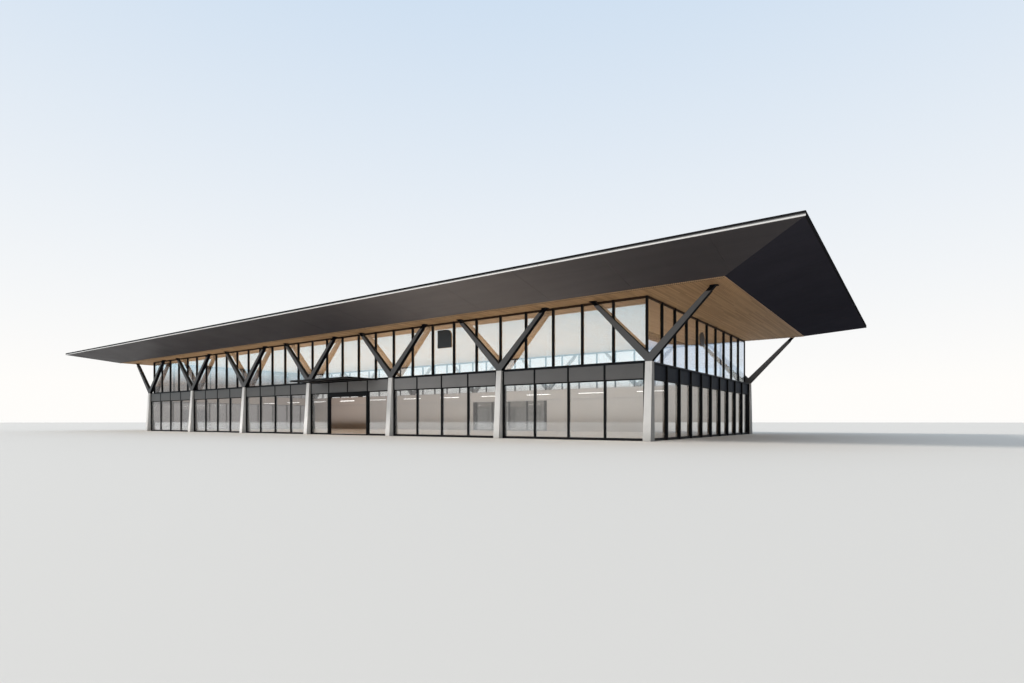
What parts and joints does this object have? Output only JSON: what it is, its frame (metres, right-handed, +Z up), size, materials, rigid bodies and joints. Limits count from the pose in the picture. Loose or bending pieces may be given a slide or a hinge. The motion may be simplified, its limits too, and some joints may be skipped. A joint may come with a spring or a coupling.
{
  "type": "railway station building, 1:2 scale model",
  "caption": "Long glazed single-hall station building with a timber ceiling and a flat roof on forked steel struts and leaning concrete columns; 1:2 scale model.",
  "frame": {"origin": "on the ground under the middle of the roof's outline", "axes": "+X along the long front towards the end with the pictured corner, +Y from the forecourt front to the back, +Z up"},
  "size_m": [34.798, 14.152, 4.058],
  "materials": {
    "floor_concrete": "honed grey concrete",
    "frame_metal": "satin near-black powder coat",
    "portal_metal": "satin black powder coat",
    "window_glass": "clear double glazing, polished",
    "spandrel_panel": "satin warm dark grey",
    "end_spandrel_panel": "satin slate blue-grey",
    "wall_panel": "smooth light beige mineral wall panels",
    "column_concrete": "smooth light-grey fair-faced concrete",
    "strut_steel": "satin dark grey paint on steel",
    "ceiling_timber": "oiled warm brown timber battens",
    "eave_metal": "matt warm dark grey sheet metal",
    "roof_membrane": "matt grey membrane",
    "trim_aluminium": "light satin anodised",
    "coping_metal": "matt dark grey sheet metal"
  },
  "bodies": {
    "root": {"floor_slab": "floor_concrete", "front_frame_left": "frame_metal", "front_frame_right": "frame_metal", "entrance_portal": "portal_metal", "entrance_canopy": "portal_metal", "back_lower_frame": "frame_metal", "left_lower_frame": "frame_metal", "right_lower_frame": "frame_metal", "back_wall": "wall_panel", "front_glass": "window_glass", "back_glass": "window_glass", "left_glass": "window_glass", "right_glass": "window_glass", "front_spandrel": "spandrel_panel", "back_spandrel": "spandrel_panel", "left_spandrel": "end_spandrel_panel", "right_spandrel": "end_spandrel_panel", "front_upper_frame": "frame_metal", "back_upper_frame": "frame_metal", "left_upper_frame": "frame_metal", "right_upper_frame": "frame_metal", "front_struts": "strut_steel", "back_struts": "strut_steel", "timber_ceiling": "ceiling_timber", "front_eave": "eave_metal", "back_eave": "eave_metal", "left_eave": "eave_metal", "right_eave": "eave_metal", "roof_deck": "roof_membrane", "edge_trim": "trim_aluminium", "edge_coping": "coping_metal", "front_column_1": "column_concrete", "front_column_2": "column_concrete", "front_column_3": "column_concrete", "front_column_4": "column_concrete", "front_column_5": "column_concrete", "front_column_6": "column_concrete", "front_column_7": "column_concrete", "back_column_1": "column_concrete", "back_column_2": "column_concrete", "back_column_3": "column_concrete", "back_column_4": "column_concrete", "back_column_5": "column_concrete", "back_column_6": "column_concrete", "back_column_7": "column_concrete"}
  },
  "joints": []
}
